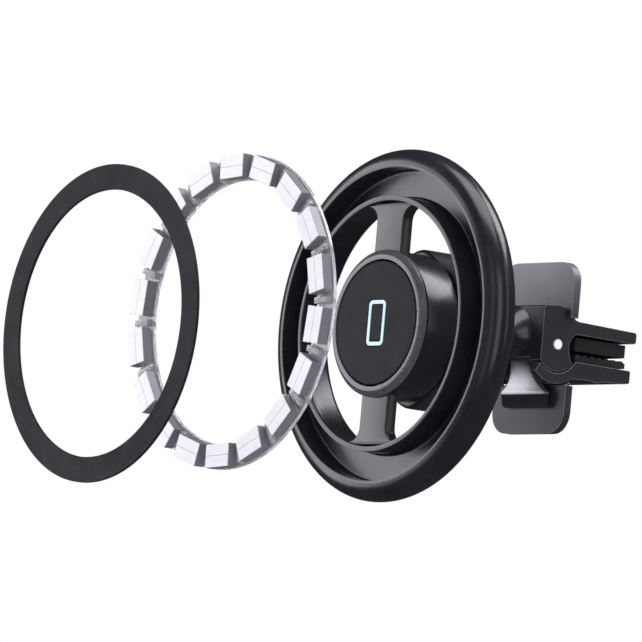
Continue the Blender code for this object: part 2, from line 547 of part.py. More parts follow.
pad_up = prism("upper_jaw_pad", toothed(40.4, 52.3, 2.20, -0.25, 1.7, 0.16), "x", -7.4, 7.4, RUBBER)
pad_low = prism("lower_jaw_pad", toothed(40.6, 52.5, -2.05, -0.75, 1.7, 0.35), "x", -7.4, 7.4, RUBBER, None, (0, PIN_Y, PIN_Z))

# torsion spring beside the barrel, round the pin
bm = bmesh.new()
WIRE, COIL_R, TURNS = 0.26, 1.75, 2.5
path = []
x0, x1 = 4.05, 5.45
path.append(Vector((x0, PIN_Y + COIL_R, PIN_Z + 3.2)))
path.append(Vector((x0, PIN_Y + COIL_R, PIN_Z + 1.2)))
count = 30
for k in range(count + 1):
    a = -2 * math.pi * TURNS * k / count
    path.append(Vector((x0 + (x1 - x0) * k / count, PIN_Y + COIL_R * math.cos(a), PIN_Z + COIL_R * math.sin(a))))
path.append(Vector((x1, PIN_Y - COIL_R, PIN_Z + 1.0)))
path.append(Vector((x1, PIN_Y - COIL_R, PIN_Z + 2.6)))
sides = 5
rings = []
for i, p in enumerate(path):
    t = (path[min(i + 1, len(path) - 1)] - path[max(i - 1, 0)]).normalized()
    u = t.cross(Vector((1, 0, 0))).normalized()
    v = t.cross(u).normalized()
    rings.append([bm.verts.new(p + WIRE * (math.cos(2 * math.pi * k / sides) * u + math.sin(2 * math.pi * k / sides) * v)) for k in range(sides)])
for a, b in zip(rings, rings[1:]):
    for k in range(sides):
        bm.faces.new([a[k], a[(k + 1) % sides], b[(k + 1) % sides], b[k]])
bm.faces.new(rings[0])
bm.faces.new(list(reversed(rings[-1])))
spring = finish("jaw_spring", bm, STEEL, 50)

jaw_hinge = empty("lower_jaw_hinge", (0, PIN_Y, PIN_Z))
parent_keep(jaw, jaw_hinge)
parent_keep(pad_low, jaw_hinge)
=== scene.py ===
import bpy, bmesh, math
from mathutils import Vector, Matrix


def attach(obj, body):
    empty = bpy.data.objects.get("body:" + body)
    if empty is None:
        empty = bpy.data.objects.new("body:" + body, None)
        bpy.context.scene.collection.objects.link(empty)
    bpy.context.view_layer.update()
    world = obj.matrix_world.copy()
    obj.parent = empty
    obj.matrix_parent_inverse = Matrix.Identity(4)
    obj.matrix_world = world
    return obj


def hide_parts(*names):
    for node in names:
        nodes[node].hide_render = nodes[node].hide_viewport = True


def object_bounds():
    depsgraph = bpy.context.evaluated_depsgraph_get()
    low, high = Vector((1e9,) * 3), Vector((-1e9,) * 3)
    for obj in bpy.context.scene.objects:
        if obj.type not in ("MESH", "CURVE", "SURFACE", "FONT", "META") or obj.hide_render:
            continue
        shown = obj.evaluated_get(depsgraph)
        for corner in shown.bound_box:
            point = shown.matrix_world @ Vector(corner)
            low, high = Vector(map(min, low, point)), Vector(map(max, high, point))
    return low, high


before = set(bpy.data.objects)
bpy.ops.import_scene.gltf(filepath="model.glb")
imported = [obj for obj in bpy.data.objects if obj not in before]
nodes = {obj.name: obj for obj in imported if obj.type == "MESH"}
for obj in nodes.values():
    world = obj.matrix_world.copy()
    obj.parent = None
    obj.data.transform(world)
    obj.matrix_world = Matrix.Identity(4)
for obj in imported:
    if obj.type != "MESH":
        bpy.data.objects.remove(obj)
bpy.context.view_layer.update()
MM = 0.001


# ------------------------------------------------------------ mesh helpers
def arc(cx, cy, r, a0, a1, n, ry=None):
    ry = r if ry is None else ry
    return [(cx + r * math.cos(math.radians(a0 + (a1 - a0) * i / n)),
             cy + ry * math.sin(math.radians(a0 + (a1 - a0) * i / n))) for i in range(n + 1)]


def soften(loop, r, n=3):
    """Rounds every corner of a closed outline by up to r (mm) with n+1 points."""
    out, m = [], len(loop)
    for i in range(m):
        p, a, b = Vector(loop[i]), Vector(loop[i - 1]), Vector(loop[(i + 1) % m])
        da, db = (a - p), (b - p)
        la, lb = da.length, db.length
        if la < 1e-6 or lb < 1e-6:
            continue
        cosang = da.dot(db) / la / lb
        if cosang < -0.97:                   # nearly straight: leave it
            out.append(tuple(p))
            continue
        k = min(r, 0.45 * la, 0.45 * lb)
        s, e = p + da / la * k, p + db / lb * k
        for j in range(n + 1):
            t = j / n
            q = s * (1 - t) ** 2 + p * 2 * t * (1 - t) + e * t ** 2
            out.append((q.x, q.y))
    return out


def lathe_into(bm, profile, steps, centre=(0.0, 0.0), mat=0):
    rings = []
    for (r, y) in profile:
        if r < 1e-6:
            rings.append([bm.verts.new((centre[0], y, centre[1]))] * steps)
        else:
            rings.append([bm.verts.new((centre[0] + r * math.cos(2 * math.pi * k / steps), y,
                                        centre[1] + r * math.sin(2 * math.pi * k / steps))) for k in range(steps)])
    for i in range(len(rings)):
        a, b = rings[i], rings[(i + 1) % len(rings)]
        for k in range(steps):
            quad = []
            for v in (a[k], a[(k + 1) % steps], b[(k + 1) % steps], b[k]):
                if v not in quad:
                    quad.append(v)
            if len(quad) >= 3:
                f = bm.faces.new(quad)
                f.material_index = mat


def prism_into(bm, loop, axis, lo, hi, bevel=0.0, segs=2, mat=0):
    """Extruded outline with its two rims rounded by `bevel`, as one closed skin."""
    put = (lambda p, d: (d, p[0], p[1])) if axis == "x" else (lambda p, d: (p[0], d, p[1]))
    m = len(loop)
    # inward offset of the outline for the rounded rims
    area = sum(loop[i][0] * loop[(i + 1) % m][1] - loop[(i + 1) % m][0] * loop[i][1] for i in range(m))
    sgn = 1.0 if area > 0 else -1.0

    def inset(d):
        if d < 1e-9:
            return list(loop)
        res = []
        for i in range(m):
            p, a, b = Vector(loop[i]), Vector(loop[i - 1]), Vector(loop[(i + 1) % m])
            e1, e2 = (p - a), (b - p)
            e1 = e1.normalized() if e1.length > 1e-9 else e2.normalized()
            e2 = e2.normalized() if e2.length > 1e-9 else e1
            n1, n2 = Vector((-e1.y, e1.x)) * sgn, Vector((-e2.y, e2.x)) * sgn
            nn = (n1 + n2)
            nn = nn.normalized() if nn.length > 1e-6 else n1
            c = max(0.5, nn.dot(n1))
            res.append(tuple(p + nn * (d / c)))
        return res

    layers = []
    if bevel > 0:
        for j in range(segs + 1):
            t = math.pi / 2 * j / segs
            layers.append((inset(bevel * (1 - math.sin(t))), lo + bevel * (1 - math.cos(t))))
        for j in range(segs, -1, -1):
            t = math.pi / 2 * j / segs
            layers.append((inset(bevel * (1 - math.sin(t))), hi - bevel * (1 - math.cos(t))))
    else:
        layers = [(list(loop), lo), (list(loop), hi)]
    rows = [[bm.verts.new(put(p, d)) for p in pts] for (pts, d) in layers]
    made = [bm.faces.new(rows[0]), bm.faces.new(list(reversed(rows[-1])))]
    for a, b in zip(rows, rows[1:]):
        for k in range(m):
            made.append(bm.faces.new([a[k], b[k], b[(k + 1) % m], a[(k + 1) % m]]))
    for f in made:
        f.material_index = mat


def make(name, bm, mats, angle=35):
    bmesh.ops.recalc_face_normals(bm, faces=bm.faces)
    bmesh.ops.scale(bm, verts=bm.verts, vec=(MM, MM, MM))
    me = bpy.data.meshes.new(name)
    bm.to_mesh(me)
    bm.free()
    for m in mats:
        me.materials.append(m)
    ob = bpy.data.objects.new(name, me)
    bpy.context.scene.collection.objects.link(ob)
    me.shade_smooth()
    me.set_sharp_from_angle(angle=math.radians(angle))
    return ob


def rounded_rect(hw, hh, r, n):
    pts = []
    for (sx, sz, a0) in ((1, 1, 0), (-1, 1, 90), (-1, -1, 180), (1, -1, 270)):
        pts += arc(sx * (hw - r), sz * (hh - r), r, a0, a0 + 90, n)
    return pts


# --------------------------------------------------------------- materials
class G:
    """Small helper round a material's node tree."""

    def __init__(self, name):
        self.m = bpy.data.materials.new(name)
        self.m.use_nodes = True
        self.t = self.m.node_tree
        self.b = self.t.nodes["Principled BSDF"]
        self.out = self.t.nodes["Material Output"]
        self.co = self.n("ShaderNodeTexCoord").outputs["Object"]
        mp = self.n("ShaderNodeMapping")
        mp.inputs["Scale"].default_value = (1000, 1000, 1000)      # millimetres
        self.l(self.co, mp.inputs["Vector"])
        self.mm = mp.outputs["Vector"]

    def n(self, kind, **kw):
        x = self.t.nodes.new(kind)
        for k, v in kw.items():
            setattr(x, k, v)
        return x

    def l(self, a, b):
        self.t.links.new(a, b)

    def noise(self, scale, detail=3.0, rough=0.55, vec=None, stretch=None):
        x = self.n("ShaderNodeTexNoise")
        x.inputs["Scale"].default_value = scale
        x.inputs["Detail"].default_value = detail
        x.inputs["Roughness"].default_value = rough
        v = vec or self.mm
        if stretch:
            mp = self.n("ShaderNodeMapping")
            mp.inputs["Scale"].default_value = stretch
            self.l(v, mp.inputs["Vector"])
            v = mp.outputs["Vector"]
        self.l(v, x.inputs["Vector"])
        return x.outputs["Fac"]

    def ramp(self, fac, lo, hi, a, b):
        x = self.n("ShaderNodeMapRange")
        x.inputs["From Min"].default_value = lo
        x.inputs["From Max"].default_value = hi
        x.inputs["To Min"].default_value = a
        x.inputs["To Max"].default_value = b
        self.l(fac, x.inputs["Value"])
        return x.outputs["Result"]

    def mix(self, fac, c1, c2):
        x = self.n("ShaderNodeMix", data_type="RGBA")
        if isinstance(fac, float):
            x.inputs[0].default_value = fac
        else:
            self.l(fac, x.inputs[0])
        for i, c in ((6, c1), (7, c2)):
            if isinstance(c, tuple):
                x.inputs[i].default_value = (*c, 1.0)
            else:
                self.l(c, x.inputs[i])
        return x.outputs[2]

    def math(self, op, a, b=None):
        x = self.n("ShaderNodeMath", operation=op)
        for i, v in ((0, a), (1, b)):
            if v is None:
                continue
            if isinstance(v, (int, float)):
                x.inputs[i].default_value = v
            else:
                self.l(v, x.inputs[i])
        return x.outputs[0]

    def bump(self, height, strength, dist_mm, normal=None):
        x = self.n("ShaderNodeBump")
        x.inputs["Strength"].default_value = strength
        x.inputs["Distance"].default_value = dist_mm * MM
        self.l(height, x.inputs["Height"])
        if normal is not None:
            self.l(normal, x.inputs["Normal"])
        return x.outputs["Normal"]


def plastic(name, colour, rough, grain=6.0, bump=0.10, var=0.06, coat=0.0, edge=0.0, edge_mm=0.18,
            edge_highlight_colour=(0.10, 0.10, 0.11), specular=0.5, speck=0.0, metal=0.0, painted_light_bands=None, shine=None):
    g = G(name)
    big = g.noise(0.09, 4.0)
    fine = g.noise(grain, 3.0, 0.6)
    light = tuple(min(1.0, c * 1.35 + 0.002) for c in colour)
    col = g.mix(g.ramp(big, 0.35, 0.68, 0.0, 1.0), colour, light)
    if speck:
        sp = g.noise(grain * 1.7, 2.0, 0.7)
        col = g.mix(g.ramp(sp, 0.60, 0.75, 0.0, speck), col, tuple(min(1.0, c * 2.2 + 0.01) for c in colour))
    if painted_light_bands:                                    # painted light and shade: base colour changes with height, stops in mm
        sep = g.n("ShaderNodeSeparateXYZ")
        g.l(g.mm, sep.inputs[0])
        for (z_lo, z_hi, painted_tone) in painted_light_bands:
            col = g.mix(g.ramp(sep.outputs["Z"], z_lo, z_hi, 1.0, 0.0), col, painted_tone)
    normal = None
    # painted highlight: where the bevel normal turns away from the surface normal, the colour is mixed toward a lighter
    # edge colour
    if edge > 0:
        bv = g.n("ShaderNodeBevel", samples=6)
        bv.inputs["Radius"].default_value = edge_mm * MM
        geo = g.n("ShaderNodeNewGeometry")
        dot = g.n("ShaderNodeVectorMath", operation="DOT_PRODUCT")
        g.l(bv.outputs["Normal"], dot.inputs[0])
        g.l(geo.outputs["Normal"], dot.inputs[1])
        edge_highlight_mask = g.ramp(dot.outputs["Value"], 0.995, 0.90, 0.0, edge)
        col = g.mix(edge_highlight_mask, col, edge_highlight_colour)
        normal = bv.outputs["Normal"]
    g.l(col, g.b.inputs["Base Color"])
    r = g.ramp(g.noise(0.35, 5.0, 0.6), 0.3, 0.7, rough - var, rough + var)
    g.l(r, g.b.inputs["Roughness"])
    g.l(g.bump(fine, bump, 0.02, normal), g.b.inputs["Normal"])
    g.b.inputs["Specular IOR Level"].default_value = specular
    g.b.inputs["Coat Weight"].default_value = coat
    g.b.inputs["Metallic"].default_value = metal
    g.b.inputs["Coat Roughness"].default_value = 0.06
    if shine:                                    # polished only between two heights, stops in mm
        sep = g.n("ShaderNodeSeparateXYZ")
        g.l(g.mm, sep.inputs[0])
        both = g.n("ShaderNodeMath", operation="MULTIPLY")
        g.l(g.ramp(sep.outputs["Z"], shine[0], shine[1], 0.0, 1.0), both.inputs[0])
        g.l(g.ramp(sep.outputs["Z"], shine[2], shine[3], 1.0, 0.0), both.inputs[1])
        for (port, level) in (("Metallic", metal), ("Specular IOR Level", specular)):
            scaled = g.n("ShaderNodeMath", operation="MULTIPLY")
            g.l(both.outputs[0], scaled.inputs[0])
            scaled.inputs[1].default_value = level
            g.l(scaled.outputs[0], g.b.inputs[port])
    return g.m


M_GLOSS = plastic("gloss_black", (0.0095, 0.0088, 0.0130), 0.25, grain=1.2, bump=0.03, var=0.03, coat=0.05)
M_SPOKE = plastic("gloss_black_satin", (0.012, 0.012, 0.014), 0.30, grain=3.0, bump=0.04, var=0.03, coat=0.1)
M_RIM = plastic("rim_grey", (0.050, 0.049, 0.057), 0.28, grain=2.0, bump=0.03, var=0.03, coat=0.2)
M_FACE = plastic("matte_black", (0.0085, 0.0080, 0.0110), 0.66, grain=9.0, bump=0.22, var=0.04, speck=0.30, specular=0.24)
M_COVER = plastic("cover_black", (0.0095, 0.0090, 0.0125), 0.70, grain=11.0, bump=0.20, var=0.05, speck=0.25, specular=0.20)
# painted highlight: lighter colour mixed in along the edges
M_SATIN = plastic("satin_black", (0.0105, 0.0100, 0.0135), 0.42, grain=7.0, bump=0.12, var=0.05,
                  edge=0.85, edge_mm=0.16, edge_highlight_colour=(0.26, 0.255, 0.275))
# painted highlight: the lever's base colour turns light grey from z -3.4 mm down to -6.9 mm; painted shade: the nose
# goes dark again below about -8.5 mm
M_LEVER = plastic("satin_black_lever", (0.030, 0.030, 0.034), 0.27, grain=5.0, bump=0.04, var=0.04, metal=0.55,
                  painted_light_bands=[(-6.9, -3.4, (0.34, 0.335, 0.355)), (-8.7, -8.4, (0.020, 0.0195, 0.024))],
                  shine=(-8.75, -8.4, -5.6, -2.6))
M_STEM = plastic("satin_black_stem", (0.011, 0.0105, 0.014), 0.26, grain=4.0, bump=0.03, var=0.04, coat=0.2)
M_NUT = plastic("satin_black_nut", (0.012, 0.012, 0.014), 0.34, grain=5.0, bump=0.08, var=0.05)
# painted shade: the plate's base colour darkens from z 15 mm down to 5 mm and stays dark below, so its top reads
# lighter; painted highlight: lighter colour along the edges
M_PLATE = plastic("plate_grey", (0.100, 0.098, 0.110), 0.36, grain=8.0, bump=0.10, var=0.04,
                  painted_light_bands=[(5.0, 15.0, (0.022, 0.021, 0.027))], shine=(-50.0, 12.0, 30.0, 40.0),
                  edge=0.7, edge_mm=0.20, edge_highlight_colour=(0.34, 0.335, 0.36))
# painted highlight: light grey materials for the rounded edge faces, standing in for light caught by the edges
M_EDGE_HIGHLIGHT = plastic("painted_edge_highlight", (0.30, 0.295, 0.315), 0.30, grain=6.0, bump=0.05, var=0.05)
M_PLATE_EDGE_HIGHLIGHT = plastic("plate_painted_edge_highlight", (0.24, 0.235, 0.25), 0.28, grain=6.0, bump=0.05, var=0.05)
M_RUBBER = plastic("rubber", (0.014, 0.014, 0.015), 0.80, grain=9.0, bump=0.35, var=0.06, speck=0.2)
M_PRINT = plastic("pale_blue", (0.50, 0.72, 0.84), 0.55, grain=8.0, bump=0.15, var=0.05)
M_PIN = plastic("light_pin", (0.72, 0.72, 0.74), 0.45, grain=6.0, bump=0.08, var=0.05)
M_NYLON = plastic("nylon", (0.66, 0.64, 0.58), 0.52, grain=5.0, bump=0.10, var=0.05)


def coated(name, colour, rough, metal, streak):
    g = G(name)
    col = g.mix(g.ramp(g.noise(0.5, 4.0), 0.35, 0.7, 0.0, 1.0), colour, tuple(c * 0.93 for c in colour))
    g.l(col, g.b.inputs["Base Color"])
    g.l(g.ramp(g.noise(3.0, 4.0, 0.6, stretch=(1, 12, 1)), 0.3, 0.7, rough - 0.08, rough + 0.08), g.b.inputs["Roughness"])
    g.b.inputs["Metallic"].default_value = metal
    g.l(g.bump(g.noise(7.0, 3.0, 0.6, stretch=streak), 0.10, 0.02), g.b.inputs["Normal"])
    return g.m


M_MAG = coated("magnet_face", (0.70, 0.70, 0.725), 0.40, 0.0, (1, 1, 1))
M_MAG_SIDE = coated("magnet_side", (0.20, 0.20, 0.215), 0.42, 0.35, (1, 8, 1))
M_SEAM = coated("magnet_seam", (0.30, 0.30, 0.32), 0.5, 0.0, (1, 1, 1))
M_STEEL = coated("steel", (0.62, 0.62, 0.64), 0.30, 1.0, (1, 10, 1))


def clear(name):
    g = G(name)
    g.b.inputs["Base Color"].default_value = (0.90, 0.91, 0.93, 1)
    g.b.inputs["Transmission Weight"].default_value = 0.75
    g.b.inputs["IOR"].default_value = 1.45
    g.l(g.ramp(g.noise(0.8, 3.0), 0.3, 0.7, 0.04, 0.12), g.b.inputs["Roughness"])
    col = g.mix(g.ramp(g.noise(0.25, 3.0), 0.35, 0.65, 0.0, 1.0), (0.93, 0.94, 0.96), (0.84, 0.85, 0.88))
    g.l(col, g.b.inputs["Base Color"])
    g.l(g.bump(g.noise(1.5, 2.0), 0.05, 0.02), g.b.inputs["Normal"])
    return g.m


M_CLEAR = clear("clear_carrier")


def give(node, mat, angle=30):
    ob = nodes[node]
    for i in range(len(ob.material_slots)):
        ob.material_slots[i].link = "OBJECT"
        ob.material_slots[i].material = mat
    return ob


# ------------------------------------------------------- ring frame (fine)
IN_Y, OUT_Y, BORE_R, INNER_LIP_R = 0.55, 1.15, 22.11, 23.10
OUT_IN_R, OUT_OUT_R, FLOOR_Y = 28.25, 29.0, 5.45
MAX_R, BACK_Y, ROLL_Y = 31.8, 7.95, 4.10
roll = []
for i in range(41):
    a = math.radians(20.5 + (180 - 20.5) * i / 40)
    roll.append((27.5 + (MAX_R - 27.5) * math.sin(a), ROLL_Y - (3.08 if math.cos(a) > 0 else BACK_Y - ROLL_Y) * math.cos(a)))
profile = ([(BORE_R + 0.02, IN_Y + 0.22), (BORE_R + 0.09, IN_Y + 0.08), (BORE_R + 0.25, IN_Y)]
           + [(INNER_LIP_R - 0.12, IN_Y), (INNER_LIP_R - 0.03, IN_Y + 0.04), (INNER_LIP_R, IN_Y + 0.14)]
           + [(INNER_LIP_R + 0.02, FLOOR_Y - 0.5)]
           + arc(INNER_LIP_R + 0.47, FLOOR_Y - 0.45, 0.45, 180, 90, 5)
           + arc(OUT_IN_R - 0.47, FLOOR_Y - 0.45, 0.45, 90, 0, 5)
           + [(OUT_IN_R, OUT_Y + 0.14), (OUT_IN_R + 0.04, OUT_Y + 0.04), (OUT_IN_R + 0.14, OUT_Y)]
           + [(OUT_OUT_R - 0.10, OUT_Y), (OUT_OUT_R, OUT_Y + 0.05)]
           + roll + [(25.4, BACK_Y - 0.05)]
           + arc(24.2, 6.05, 1.85, 90, 180, 10, 1.75)[1:]
           + [(BORE_R + 0.05, 3.4), (BORE_R, 1.6)])
bm = bmesh.new()
lathe_into(bm, profile, 256)
# spokes
W, F = 3.8, 2.6
zc = math.sqrt((BORE_R + 0.05 - F) ** 2 - (W + F) ** 2)
ang = math.degrees(math.atan2(zc, W + F))
right = arc(W + F, zc, F, 180, ang, 16) + [(W + 3.0, math.sqrt((BORE_R + 0.75) ** 2 - (W + 3.0) ** 2))]
spoke = [(W, 12.3)] + right + [(-x, z) for (x, z) in reversed(right)] + [(-W, 12.3)]
for s in (1, -1):
    prism_into(bm, [(x, z * s) for (x, z) in spoke], "y", 1.2, 3.5, 0.32, 4, 1)
# hub cup
lathe_into(bm, [(0.0, 4.6), (11.75, 4.6), (12.05, 4.3), (12.05, 1.3), (12.15, 1.2), (13.2, 1.2), (13.3, 1.3),
                (13.3, 8.0), (13.2, 8.25), (13.0, 8.45), (12.8, 8.5), (12.7, 8.4), (12.7, 6.6), (0.0, 6.6)], 192)
ring = make("ring_frame_shell", bm, [M_GLOSS, M_SPOKE], 32)
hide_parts("ring_frame")
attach(ring, "head")

# hub bezel, disc and print
bm = bmesh.new()
lathe_into(bm, [(11.45, 0.10), (11.52, 0.02), (11.62, 0.0), (12.22, 0.0), (12.32, 0.04), (13.22, 0.70), (13.29, 0.78), (13.3, 0.9),
                (11.75, 0.9), (11.75, 2.4), (11.45, 2.4)], 224)
bezel = make("hub_bezel_ring", bm, [M_RIM], 24)
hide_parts("hub_bezel")
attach(bezel, "head")

HW, HH, T = 2.35, 4.1, 0.7
bm = bmesh.new()
outer, inner = rounded_rect(HW - 0.02, HH - 0.02, 0.93, 10), rounded_rect(HW - T + 0.02, HH - T + 0.02, 0.43, 10)
rows = []
for (loop_o, loop_i, y) in ((outer, inner, 0.12), (outer, inner, 0.015)):
    rows.append(([bm.verts.new((x, y, z)) for (x, z) in loop_o], [bm.verts.new((x, y, z)) for (x, z) in loop_i]))
m = len(outer)
for k in range(m):
    j = (k + 1) % m
    bm.faces.new([rows[0][0][k], rows[0][0][j], rows[1][0][j], rows[1][0][k]])
    bm.faces.new([rows[0][1][k], rows[0][1][j], rows[1][1][j], rows[1][1][k]])
    bm.faces.new([rows[0][0][k], rows[0][0][j], rows[0][1][j], rows[0][1][k]])
    bm.faces.new([rows[1][0][k], rows[1][0][j], rows[1][1][j], rows[1][1][k]])
mark = make("hub_mark_print", bm, [M_PRINT], 30)
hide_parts("hub_mark")
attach(mark, "head")

give("hub_face_disc", M_FACE)
for nname in ("hub_centre_magnet", "hub_yoke_plate", "hub_screw_1", "hub_screw_2", "hub_screw_3", "hub_screw_4", "jaw_spring"):
    give(nname, M_STEEL)
give("ball_socket", M_SATIN)
give("ball_seat_liner", M_NYLON)
give("swivel_ball", M_NUT)

# lock nut (fine lobes)
bm = bmesh.new()
steps = 240


def nut_ring(scale, y, plain=None):
    row = []
    for k in range(steps):
        t = 2 * math.pi * k / steps
        r = plain if plain else scale * (13.7 + 0.7 * math.cos(6 * (t - math.pi / 2)))
        row.append(bm.verts.new((r * math.cos(t), y, r * math.sin(t))))
    return row


loops = [nut_ring(0, 8.8, 10.5), nut_ring(0.950, 8.8), nut_ring(0.972, 8.86), nut_ring(0.990, 9.08), nut_ring(0.998, 9.4),
         nut_ring(1.0, 9.8), nut_ring(1.0, 17.9), nut_ring(0.992, 18.4), nut_ring(0.972, 18.9), nut_ring(0.82, 21.4),
         nut_ring(0.80, 21.65), nut_ring(0.785, 21.7), nut_ring(0, 21.7, 8.9), nut_ring(0, 20.35, 8.9), nut_ring(0, 20.35, 10.5)]
for i in range(len(loops)):
    a, b = loops[i], loops[(i + 1) % len(loops)]
    for k in range(steps):
        bm.faces.new([a[k], a[(k + 1) % steps], b[(k + 1) % steps], b[k]])
nut = make("lock_nut_lobed", bm, [M_NUT], 40)
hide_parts("lock_nut")
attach(nut, "nut")

# ------------------------------------------------------ magnets and carrier
MT, MZ, CT, CZ = 36.33, 2.11, 26.17, 5.62            # as drawn out: forward of the seat, and below it
PHASE = -3.5
bm = bmesh.new()
lathe_into(bm, [(23.45, 4.47 - MT), (23.52, 4.40 - MT), (27.83, 4.40 - MT), (27.90, 4.47 - MT), (27.90, 5.05 - MT), (27.83, 5.12 - MT),
                (23.52, 5.12 - MT), (23.45, 5.05 - MT)], 256)
bmesh.ops.translate(bm, verts=bm.verts, vec=(0, 0, -MZ))
carrier = make("magnet_carrier_clear", bm, [M_CLEAR], 40)
for i in range(18):
    bm = bmesh.new()
    prism_into(bm, rounded_rect(0.575, (27.55 - 23.80) / 2, 0.15, 3), "y", 3.37 - MT, 4.40 - MT, 0.10, 2)
    a = math.radians(PHASE + 10 + 20 * i)
    bmesh.ops.translate(bm, verts=bm.verts, vec=(0, 0, (27.55 + 23.80) / 2))
    bmesh.ops.rotate(bm, verts=bm.verts, cent=(0, 0, 0), matrix=Matrix.Rotation(a, 3, "Y"))
    bmesh.ops.translate(bm, verts=bm.verts, vec=(0, 0, -MZ))
    rib = make("carrier_rib_%02d" % (i + 1), bm, [M_CLEAR], 40)
    rib.parent = carrier
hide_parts("magnet_carrier")
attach(carrier, "magnet_ring")

BR, BT, BA, R0, Y0 = 4.1, 6.4, 2.0, 25.70, 2.10 - MT
for i in range(18):
    bm = bmesh.new()
    hw, hr, y1 = BT / 2, BR / 2, Y0 + BA
    s = 0.055                                # half width of the seam line
    cols = [-hr, -hr + 0.10, -s, s, hr - 0.10, hr]          # across the radius
    ycol = [Y0 + 0.10, Y0, Y0, Y0, Y0, Y0 + 0.10]
    fr = []
    for (x, dy) in ((-hw, 0.10), (-hw + 0.10, 0.0), (hw - 0.10, 0.0), (hw, 0.10)):
        row = []
        for c, yy in zip(cols, ycol):
            row.append(bm.verts.new((x, max(yy, Y0 + dy), c)))
        fr.append(row)
    bk = [[bm.verts.new((x, y1, z)) for z in (-hr, hr)] for x in (-hw, hw)]
    for r in range(3):
        for c in range(5):
            f = bm.faces.new([fr[r][c], fr[r + 1][c], fr[r + 1][c + 1], fr[r][c + 1]])
            f.material_index = 2 if c == 2 else 0
    for (row, b) in ((fr[0], bk[0]), (fr[3], bk[1])):
        f = bm.faces.new(list(row) + [b[1], b[0]]); f.material_index = 1
    f = bm.faces.new([fr[r][0] for r in range(4)] + [bk[1][0], bk[0][0]]); f.material_index = 1
    f = bm.faces.new([fr[r][5] for r in range(4)] + [bk[1][1], bk[0][1]]); f.material_index = 1
    f = bm.faces.new([bk[0][0], bk[0][1], bk[1][1], bk[1][0]]); f.material_index = 1
    bmesh.ops.translate(bm, verts=bm.verts, vec=(0, 0, R0))
    bmesh.ops.rotate(bm, verts=bm.verts, cent=(0, 0, 0), matrix=Matrix.Rotation(math.radians(PHASE + 20 * i), 3, "Y"))
    bmesh.ops.translate(bm, verts=bm.verts, vec=(0, 0, -MZ))
    blk = make("magnet_block_%02d" % (i + 1), bm, [M_MAG, M_MAG_SIDE, M_SEAM], 20)
    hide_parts("magnet_%02d" % (i + 1))
    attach(blk, "magnet_ring")

bm = bmesh.new()
d = -MT - CT
lathe_into(bm, [(23.42, 1.28 + d), (23.48, 1.22 + d), (27.84, 1.22 + d), (27.90, 1.28 + d), (27.90, 1.74 + d), (27.84, 1.80 + d),
                (23.48, 1.80 + d), (23.42, 1.74 + d)], 288)
bmesh.ops.translate(bm, verts=bm.verts, vec=(0, 0, -MZ - CZ))
cover = make("cover_ring_film", bm, [M_COVER], 40)
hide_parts("cover_ring")
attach(cover, "cover")

# ------------------------------------------------------------- vent clip


def soften_edges(node, width, edge_highlight_mat, angle=32, segs=2):
    ob = nodes[node]
    # the rounded edge faces get the lighter edge material: a painted highlight along the edges
    ob.data.materials.append(edge_highlight_mat)
    ob.material_slots[-1].link = "OBJECT"
    ob.material_slots[-1].material = edge_highlight_mat
    weld = ob.modifiers.new("join_split_edges", "WELD")
    weld.merge_threshold = 1e-6
    mod = ob.modifiers.new("edge_round", "BEVEL")
    mod.width = width * MM
    mod.segments = segs
    mod.limit_method = "ANGLE"
    mod.angle_limit = math.radians(angle)
    mod.harden_normals = True
    mod.material = len(ob.data.materials) - 1
    mod.use_clamp_overlap = True


def spline(stations, per):
    """Smooth stations between the given ones (Catmull-Rom)."""
    out, n = [], len(stations)
    for i in range(n - 1):
        p0, p1, p2, p3 = stations[max(i - 1, 0)], stations[i], stations[i + 1], stations[min(i + 2, n - 1)]
        for k in range(per):
            t = k / per
            out.append(tuple(0.5 * (2 * b + (c - a) * t + (2 * a - 5 * b + 4 * c - d) * t * t + (3 * b - a - 3 * c + d) * t ** 3)
                             for a, b, c, d in zip(p0, p1, p2, p3)))
    out.append(tuple(stations[-1]))
    return out


def skin_into(bm, rows, caps=(True, True)):
    rings = [[bm.verts.new(p) for p in row] for row in rows]
    for a, b in zip(rings, rings[1:]):
        for k in range(len(a)):
            bm.faces.new([a[k], a[(k + 1) % len(a)], b[(k + 1) % len(a)], b[k]])
    if caps[0]:
        bm.faces.new(rings[0])
    if caps[1]:
        bm.faces.new(list(reversed(rings[-1])))


# stem: round neck that swells into the front of the clip
bm = bmesh.new()
rows = []
for (y, rx, rz, cz) in spline([(22.99, 3.36, 3.36, 0.0), (25.5, 3.36, 3.36, 0.1), (27.6, 3.66, 3.62, 0.5), (29.3, 4.28, 4.08, 1.2),
                               (30.6, 5.08, 4.58, 1.9), (31.32, 5.75, 4.92, 2.16)], 8):
    rows.append([(rx * math.cos(2 * math.pi * k / 96), y, cz + rz * math.sin(2 * math.pi * k / 96)) for k in range(96)])
skin_into(bm, rows)
stem = make("clip_stem_skin", bm, [M_STEM], 50)
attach(stem, "clip_base")

